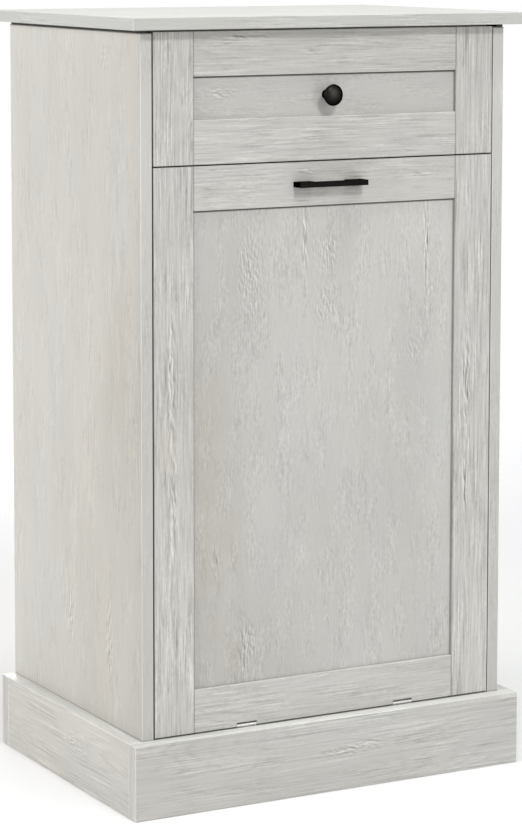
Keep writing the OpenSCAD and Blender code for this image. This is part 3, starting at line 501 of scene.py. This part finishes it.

# %% [markdown]
# ## The laminate
#
# Now the marks are added up. Each board gets its own seed, so no two show the same timber, and its own
# strength of every mark, because the narrow strips in the photograph are livelier than the wide panels.
# Narrow faces have their own tone. They are lighter where edge tape is glued on. On the inner edges of the
# frames they carry a painted shade, where light doesn't reach. Bevels get a painted highlight, as if they
# caught a little light. Big boards also get a light_falloff, a painted gradient of light: so much lighter
# for each metre across and along, as light falls off unevenly over them.

# %% Whitewash
LATE_MEAN = 0.3
ROUGH_MEAN = 0.5
ROUGH_STREAK = 0.3
WASH_SHINE = 0.35
FIBRE_RELIEF = 0.6
STREAK_RELIEF = 0.4
PORE_RELIEF = 0.6
GRAIN_BUMP = (0.2, 0.0002)


def whitewash(name, grain, across, seed, greys=FRONT_GREYS, tone=1.0, warmth=0.5, broad=1.0, streaks=1.0,
              length=0.06, flecks=0.5, rings=1.0, pores=1.0, quiet=0.35, edge=0.0, bevel_highlight=0.0, tape=None,
              end=0.0, light_falloff=None, opening=None, lines=(), butt=None, knots=(), cracks=(), stains=()):
    """A laminate for one board, with its grain along one axis and its width across another.

    broad, streaks, flecks, rings and pores are strengths of marks, and quiet is how much of the fine ones
    stays where the timber is quiet. edge and end lighten or darken those faces, for tape or as painted
    light and shade. bevel_highlight lightens the bevels as a painted highlight, and light_falloff is a
    painted gradient of light.
    """
    finish = new_finish(name)
    wood = Grain(finish, grain, across, seed)
    figure = wood.figure
    late, knotty = growth_rings(wood, knots)
    lively = quiet + 2 * (1 - quiet) * finish.ramp(figure(*LIVELY), *LIVELY_RANGE)
    streak = figure(STREAK_WIDTH, length * STREAK_RUN)
    fibre = figure(FIBRE_WIDTH, length * FIBRE_RUN)
    pits = finish.ramp(figure(PORE_WIDTH, length * PORE_RUN), *PORE_RANGE)
    fine = streaks * (STREAK_DEPTH * streak + FIBRE_DEPTH * fibre) + FLECK_DEPTH * flecks * figure(*FLECK)
    fine = fine - PORE_DEPTH * pores * pits - RING_DEPTH * rings * (late - LATE_MEAN)
    clouds = CLOUD_DEPTH * figure(*CLOUD)
    bands = BAND_DEPTH * figure(*BAND)
    shade = 1 + broad * clouds + streaks * bands + fine * lively
    if knots:
        shade = shade + knotty * (KNOT_DEPTH * wood.torn(*KNOT_TEAR) - KNOT_SHADE)
    for crack in cracks:
        shade = shade + CRACK_DEPTH * wood.spot(*crack) * wood.torn(*CRACK_TEAR)
    # Tape tone and painted light and shade on the narrow faces, a painted highlight on the bevels, then a
    # painted gradient of light.
    faces = edge * wood.edges + end * wood.ends + bevel_highlight * wood.bevels
    shade = shade * (tone + tone * faces)
    if light_falloff:
        side, along, by_side, by_along = light_falloff
        shade = shade * (1 + by_side * (wood.side - side) + by_along * (wood.along - along))
    # Painted shade in joints and gaps; the plinth's printed line comes in here too.
    if opening:
        shade = shade * joint_shade(wood, opening)
    for line in lines:
        shade = shade * hairline(wood, *line)
    if butt:
        shade = shade * butt_shade(wood, butt)

    lean = PATCH_LEAN * (0.5 - warmth)
    colour = finish.mix(finish.ramp(figure(*PATCH), lean - PATCH_SPREAD, lean + PATCH_SPREAD), *greys)
    for *place, strength in stains:
        blot = wood.spot(*place) * finish.ramp(figure(*BLOT), *BLOT_RANGE)
        colour = finish.mix(strength * blot, colour, BROWN)
    if tape:
        colour = finish.mix(wood.edges, colour, tape)
    relief = FIBRE_RELIEF * fibre + STREAK_RELIEF * streak - PORE_RELIEF * pits
    return finish.surface(
        base_color=finish.scale(colour, shade), roughness=ROUGH_MEAN + ROUGH_STREAK * streak,
        normal=finish.bump(relief, *GRAIN_BUMP), specular_ior_level=WASH_SHINE)


def dress(names, material):
    for name in names:
        for slot in nodes[name].material_slots:
            slot.material = material

# %% [markdown]
# ## The door
#
# Now each visible board gets its grain. Stiles, sides and the big door panel stand, so their grain is
# upright; rails, the drawer panel, the worktop and the plinth lie, so theirs runs along them. The marks
# are placed where the photograph has them. Knots, cracks and stains have their place across and along the
# grain and their half size that way, in metres from the cabinet's middle and the floor, and a stain's last
# number is its strength. An opening is left, right, bottom and top. A line has its axis, its place on it
# and its strength.

# %% Dress the door
# Painted shade on the inner narrow faces of the frames and on the stiles' ends, where light doesn't reach.
INNER_EDGE_SHADE = -0.30
DOOR_OPENING = (-0.1703, 0.1703, 0.1359, 0.6756)
# Painted shade: on the right stile's inner face, and on the faces beside the gaps round the door.
RIGHT_LIP_SHADE = ("x", DOOR_OPENING[1], 0.36)
LEFT_GAP_SHADE = ("x", -0.2196, 0.55)
DOOR_HEAD_SHADE = ("z", 0.7251, 0.30)
DOOR_FOOT_SHADE = ("z", 0.0864, 0.60)
STILES = {"quiet": 0.6, "edge": INNER_EDGE_SHADE, "end": INNER_EDGE_SHADE, "bevel_highlight": 0.15, "flecks": 0.7}
RAILS = {"quiet": 0.6, "butt": DOOR_OPENING[1], "length": 0.06, "bevel_highlight": 0.20}

dress(["door_panel"], whitewash(
    "laminate_door_panel", "z", "x", seed=3.1, streaks=0.30, length=0.03, flecks=0.8, pores=0.5, rings=0.5,
    broad=1.4, warmth=0.3, light_falloff=(0.0, 0.406, 0.26, 0.20), opening=DOOR_OPENING,
    knots=[(-0.097, 0.606, 0.016, 0.042), (0.004, 0.624, 0.015, 0.022), (-0.001, 0.563, 0.013, 0.020),
           (0.115, 0.502, 0.009, 0.014), (-0.098, 0.182, 0.010, 0.026)],
    cracks=[(-0.027, 0.640, 0.004, 0.040), (0.135, 0.622, 0.004, 0.050), (-0.105, 0.170, 0.005, 0.03),
            (-0.141, 0.279, 0.004, 0.02)],
    stains=[(-0.150, 0.410, 0.035, 0.130, 0.20), (-0.150, 0.230, 0.045, 0.160, 0.26),
            (-0.095, 0.180, 0.035, 0.050, 0.20)]))
dress(["door_stile_left"], whitewash(
    "laminate_door_stile_left", "z", "x", seed=7.3, length=0.05, tone=0.985, streaks=0.88, **STILES,
    lines=[LEFT_GAP_SHADE, DOOR_HEAD_SHADE, DOOR_FOOT_SHADE],
    cracks=[(-0.198, 0.49, 0.005, 0.080), (-0.196, 0.34, 0.004, 0.05)],
    stains=[(-0.198, 0.47, 0.012, 0.09, 0.25)]))
dress(["door_stile_right"], whitewash(
    "laminate_door_stile_right", "z", "x", seed=11.9, length=0.05, tone=1.02, **STILES,
    lines=[RIGHT_LIP_SHADE, DOOR_HEAD_SHADE, DOOR_FOOT_SHADE],
    cracks=[(0.188, 0.47, 0.006, 0.070), (0.187, 0.34, 0.003, 0.04)]))
dress(["door_rail_top"], whitewash(
    "laminate_door_rail_top", "x", "z", seed=31.0, edge=INNER_EDGE_SHADE, streaks=0.42, lines=[DOOR_HEAD_SHADE],
    **RAILS, cracks=[(0.715, -0.027, 0.003, 0.012), (0.706, 0.124, 0.003, 0.014)]))
dress(["door_rail_bottom"], whitewash(
    "laminate_door_rail_bottom", "x", "z", seed=38.7, streaks=0.60, lines=[DOOR_FOOT_SHADE], **RAILS))
print("materials so far:", len(bpy.data.materials))

# %% [markdown]
# ## The drawer front
#
# It is made like the door, of two stiles, two rails and a set-back panel, and its stiles carry on the
# door's. The panel lies, so its grain does too, and it is one of the quietest boards.

# %% Dress the drawer front
DRAWER_OPENING = (-0.1703, 0.1703, 0.7757, 0.8240)
# Painted shade in the gap under the drawer front.
DRAWER_FOOT_SHADE = ("z", 0.7265, 0.45)

for name, seed, side_line in [("drawer_stile_left", 17.0, LEFT_GAP_SHADE),
                              ("drawer_stile_right", 22.3, RIGHT_LIP_SHADE)]:
    dress([name], whitewash(
        "laminate_" + name, "z", "x", seed=seed, length=0.07, rings=1.6,
        lines=[side_line, DRAWER_FOOT_SHADE], **STILES))
dress(["drawer_rail_top"], whitewash(
    "laminate_drawer_rail_top", "x", "z", seed=46.4, edge=INNER_EDGE_SHADE, streaks=0.60, **RAILS,
    cracks=[(0.849, -0.020, 0.003, 0.012), (0.866, -0.113, 0.003, 0.035)]))
dress(["drawer_rail_bottom"], whitewash(
    "laminate_drawer_rail_bottom", "x", "z", seed=54.1, tone=1.025, streaks=0.70, **RAILS,
    lines=[DRAWER_FOOT_SHADE], cracks=[(0.751, -0.020, 0.003, 0.012)]))
dress(["drawer_panel"], whitewash(
    "laminate_drawer_panel", "x", "z", seed=61.3, tone=0.98, streaks=0.25, length=0.03, flecks=0.6,
    pores=0.4, rings=0.4, broad=0.5, opening=DRAWER_OPENING, knots=[(0.805, -0.135, 0.006, 0.014)]))
print("materials so far:", len(bpy.data.materials))

# %% [markdown]
# ## The body, the worktop and the plinth
#
# The sides are broad and calm: pale and warm, with soft stains towards the front. Their narrow upright
# edges carry tape in the fronts' colour, so that the whole front reads as one. Three hairlines of painted
# shade darken them: one over the plinth, where the two meet, and two in the shadow gap under the worktop.
# The worktop is cooler. The plinth's boards lie, with their top edges taped in the worktop's colour and
# lightened further as painted light from above. Their grain is longer and livelier than the body's.

# %% Dress the body, the worktop and the plinth
# BODY's lines are painted shade, and its bevel_highlight is a painted highlight on the corners.
BODY = {"greys": SIDE_GREYS, "tape": FRONT_GREYS[0], "edge": 0.11, "bevel_highlight": 0.30, "quiet": 0.15,
        "streaks": 0.28, "length": 0.03, "flecks": 0.4, "pores": 0.4, "rings": 0.4, "broad": 1.1,
        "tone": 0.99, "light_falloff": (0.0, 0.48, 0.45, 0.17),
        "lines": [("z", 0.0858, 0.28), ("z", 0.8719, 0.50), ("z", 0.8727, 0.80)]}
# PLINTH's edge lightens the top edges as painted light, and its bevel_highlight is a painted highlight.
PLINTH = {"edge": 0.22, "tape": TOP_GREYS[0], "bevel_highlight": 0.30, "end": -0.07, "quiet": 0.45, "rings": 1.4,
          "length": 0.14}

dress(["side_panel_left"], whitewash(
    "laminate_side_left", "z", "y", seed=71.0, **BODY,
    knots=[(-0.074, 0.845, 0.009, 0.016), (-0.084, 0.165, 0.008, 0.024), (0.020, 0.190, 0.010, 0.030)],
    cracks=[(-0.080, 0.185, 0.008, 0.045), (0.022, 0.190, 0.008, 0.032)],
    stains=[(-0.110, 0.50, 0.035, 0.170, 0.24), (-0.050, 0.28, 0.060, 0.20, 0.18),
            (-0.170, 0.42, 0.022, 0.400, 0.30)]))
dress(["side_panel_right"], whitewash(
    "laminate_side_right", "z", "y", seed=83.0, **BODY, knots=[(0.060, 0.560, 0.010, 0.026)]))
dress(["top_panel"], whitewash(
    "laminate_top", "x", "y", seed=91.0, greys=TOP_GREYS, streaks=0.45, pores=0.4, rings=0.5, bevel_highlight=0.05))
dress(["plinth_front"], whitewash(
    "laminate_plinth_front", "x", "z", seed=101.0, tone=0.965, broad=1.2, **PLINTH,
    streaks=0.70, flecks=0.45, pores=0.9, light_falloff=(0.0, 0.10, 0.0, 0.13), lines=[("z", 0.0715, 0.12)],
    knots=[(0.046, 0.020, 0.006, 0.030)],
    cracks=[(0.046, 0.016, 0.003, 0.012), (0.052, 0.046, 0.003, 0.012)]))
dress(["plinth_rear"], whitewash("laminate_plinth_rear", "x", "z", seed=109.0, streaks=0.65, **PLINTH))
for index, name in enumerate(["plinth_left", "plinth_right"]):
    dress([name], whitewash(
        "laminate_" + name, "y", "z", seed=113.0 + 6.1 * index, greys=SIDE_GREYS, broad=1.4,
        tone=0.952, light_falloff=(0.04, 0.0, 0.0, 0.42), streaks=0.48, flecks=0.30, pores=0.6, **PLINTH,
        knots=[(0.050, -0.020, 0.008, 0.018)],
        stains=[(0.050, 0.100, 0.030, 0.080, 0.1)]))
print("materials so far:", len(bpy.data.materials))

# %% [markdown]
# ## Inside boards
#
# Behind the fronts the same laminate is plainer: a pale board with hardly any figure. The drawer box is a
# shade warmer. They matter when the drawer and the door are open.

# %% Boards inside
inside = {"x": ["bottom_panel", "divider_panel", "top_rail_front", "top_rail_rear", "cradle_floor",
                "cradle_rear_rail"], "z": ["cradle_side_left", "cradle_side_right"]}
for grain, names in inside.items():
    dress(names, whitewash("inner_board_" + grain, grain, "y", seed=131.0, streaks=0.25, pores=0.3))
dress(["drawer_side_left", "drawer_side_right"], whitewash(
    "drawer_board_sides", "y", "z", seed=141.0, greys=SIDE_GREYS, streaks=0.3, pores=0.3))
dress(["drawer_box_front", "drawer_box_back"], whitewash(
    "drawer_board_ends", "x", "z", seed=147.0, greys=SIDE_GREYS, streaks=0.3, pores=0.3))
print("inner boards:", sum(len(names) for names in inside.values()) + 4)

# %% [markdown]
# ## Hardboard and softwood
#
# The thin back and the drawer's bottom are hardboard: pressed fibre, so its colour is mottled in every
# direction alike and very fine. The corner blocks behind the plinth are sawn softwood, with the plain
# light and dark rings of pine. Specks are counted to the metre, and a bump has a strength and a height.

# %% Hardboard and softwood
FIBRES_PER_M = 900.0
MOTTLES_PER_M = 14.0
FIBRE_SHADE = 0.35
MOTTLE_SHADE = 0.18
HARDBOARD_ROUGHNESS = 0.62
HARDBOARD_SWING = 0.2
FIBRE_BUMP = (0.3, 0.0002)
BACK_BROWN = from_screen(176, 150, 118)
DRAWER_BOTTOM_GREY = from_screen(214, 209, 200)
PINE = (from_screen(222, 192, 148), from_screen(186, 140, 92))
PINE_RING = 0.0011
PINE_FIGURE = (0.03, 0.2, 2.0)
PINE_BEND = 18.0
PINE_LATE = (0.2, 1.0)
PINE_ROUGHNESS = 0.7
PINE_SEED = 5.0


def hardboard(name, colour):
    finish = new_finish(name)
    fibre = finish.speckle(FIBRES_PER_M, 3.0, 0.65)
    mottle = finish.speckle(MOTTLES_PER_M, 3.0)
    shaded = finish.scale(colour, 1 + FIBRE_SHADE * fibre + MOTTLE_SHADE * mottle)
    bump = finish.bump(fibre, *FIBRE_BUMP)
    roughness = HARDBOARD_ROUGHNESS + HARDBOARD_SWING * fibre
    return finish.surface(base_color=shaded, roughness=roughness, normal=bump)


def softwood(name):
    finish = new_finish(name)
    wood = Grain(finish, "z", "x", PINE_SEED)
    growth = wood.side / PINE_RING + PINE_BEND * wood.figure(*PINE_FIGURE)
    late = finish.ramp(finish.math("SINE", growth), *PINE_LATE)
    return finish.surface(base_color=finish.mix(late, *PINE), roughness=PINE_ROUGHNESS)


dress(["back_panel"], hardboard("hardboard_back", BACK_BROWN))
dress(["drawer_bottom"], hardboard("hardboard_drawer", DRAWER_BOTTOM_GREY))
dress(["plinth_blocks"], softwood("softwood_blocks"))
print("materials so far:", len(bpy.data.materials))

# %% [markdown]
# ## Black metal
#
# Knob and pull are satin black metal. Their coat is very slightly pebbled. The middle of the knob's face
# is painted lighter and its rim darker: a painted reflection of a softbox in the dome. Plain dielectric
# black would turn white where it is seen edge on. A metal with a black tint stays black there, as the
# oxide finish of such fittings does.

# %% Black metal
BLACK = (0.0110, 0.0108, 0.0098, 1.0)
EDGE_TINT = (0.0, 0.0, 0.0, 1.0)
PEBBLES_PER_M = 2600.0
WEAR_PER_M = 90.0
WEAR_SHADE = 0.5
COAT_ROUGHNESS = 0.36
COAT_SWING = 0.2
PEBBLE_BUMP = (0.12, 0.0001)
KNOB_SHEEN_MIDDLE = (-0.002, -0.189, 0.802)
SHEEN_REACH = 0.0075
SHEEN_BASE = 0.5
SHEEN_GAIN = 5.7


def black_coat(name, middle=None):
    finish = new_finish(name)
    pebbles = finish.speckle(PEBBLES_PER_M)
    wear = finish.speckle(WEAR_PER_M, 3.0)
    shade = 1 + WEAR_SHADE * wear
    # Painted highlight: the knob is lighter near the middle of its face and darker towards the rim.
    if middle:
        axes = finish.split(finish.place())
        x, y, z = [(axes[axis] - at) / SHEEN_REACH for axis, at in zip("xyz", middle)]
        sheen = finish.math("EXPONENT", -1 * (x * x + y * y + z * z))
        shade = shade * (SHEEN_BASE + SHEEN_GAIN * sheen)
    return finish.surface(
        base_color=finish.scale(BLACK, shade), metallic=1.0, roughness=COAT_ROUGHNESS + COAT_SWING * wear,
        normal=finish.bump(pebbles, *PEBBLE_BUMP), specular_tint=EDGE_TINT)


dress(["knob"], black_coat("knob_black", KNOB_SHEEN_MIDDLE))
dress(["pull_handle"], black_coat("pull_black"))
print("materials so far:", len(bpy.data.materials))

# %% [markdown]
# ## Zinc and plastic
#
# Slides, stays, hinges, cams and screws are zinc plated. Zinc isn't a mirror: rolling leaves it with faint
# lines and patches, so its roughness varies and its colour hardly does. The catch is moulded plastic,
# with the fine grain of its mould.

# %% Zinc and plastic
ZINC = (0.67, 0.668, 0.66, 1.0)
SPANGLES_PER_M = 160.0
ROLLING_PER_M = 1500.0
SPANGLE_SHADE = 0.22
ZINC_ROUGHNESS = 0.32
ZINC_SWING = 0.25
ROLLING_BUMP = (0.08, 0.0001)
PLASTIC = (0.035, 0.034, 0.033, 1.0)
MOULD_PER_M = 2200.0
MOULD_SHADE = 0.3
PLASTIC_ROUGHNESS = 0.55
MOULD_BUMP = (0.2, 0.0001)


def zinc(name):
    finish = new_finish(name)
    spangle = finish.speckle(SPANGLES_PER_M, 3.0, 0.6)
    rolled = finish.speckle(ROLLING_PER_M, 1.0)
    return finish.surface(
        base_color=finish.scale(ZINC, 1 + SPANGLE_SHADE * spangle), metallic=1.0,
        roughness=ZINC_ROUGHNESS + ZINC_SWING * spangle, normal=finish.bump(rolled, *ROLLING_BUMP))


def moulded(name):
    finish = new_finish(name)
    grainy = finish.speckle(MOULD_PER_M)
    return finish.surface(
        base_color=finish.scale(PLASTIC, 1 + MOULD_SHADE * grainy), roughness=PLASTIC_ROUGHNESS,
        normal=finish.bump(grainy, *MOULD_BUMP))


dress(["magnet_catch"], moulded("catch_plastic"))
steel = [name for name, piece in nodes.items() if piece.data.materials[0].name == "zinc_steel"]
dress(steel, zinc("zinc_plate"))
print("zinc pieces:", len(steel))

# %% [markdown]
# ## The strip in the shadow gap
#
# The worktop rests on its rails, a little above the side panels, and the photograph shows only black in
# that gap, even at its two ends, where light would come through from behind. So a dark strip lies along
# each side, just inside the edge: a dark piece put there as painted shade, to stand in for the shadow of
# the gap. It is a bar with broken corners: a ring of eight points at each end, walls between them and two
# caps.

# %% Gap strips
STRIP_MIDDLE = (0.2300, 0.8744)
STRIP_HALF = (0.0040, 0.0015)
STRIP_ENDS = (-0.1650, 0.1830)
STRIP_CORNER = 0.0005


# A dark bar that puts painted shade into the gap over one side panel.
def shade_strip(name, side):
    middle_x, middle_z = STRIP_MIDDLE
    half_x, half_z = STRIP_HALF
    corner = STRIP_CORNER
    ring = [(half_x, half_z - corner), (half_x - corner, half_z), (corner - half_x, half_z),
            (-half_x, half_z - corner), (-half_x, corner - half_z), (corner - half_x, -half_z),
            (half_x - corner, -half_z), (half_x, corner - half_z)]
    sides = len(ring)
    places = [(side * middle_x + x, y, middle_z + z) for y in STRIP_ENDS for x, z in ring]
    walls = [(k, sides + k, sides + (k + 1) % sides, (k + 1) % sides) for k in range(sides)]
    caps = [tuple(range(sides)), tuple(reversed(range(sides, 2 * sides)))]
    piece = new_piece(name, places, walls + caps)
    piece.data.materials.append(moulded(name + "_painted_shade"))
    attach(piece, "cabinet")
    print(name, len(piece.data.polygons), "faces")


shade_strip("gap_strip_left", -1)
shade_strip("gap_strip_right", 1)
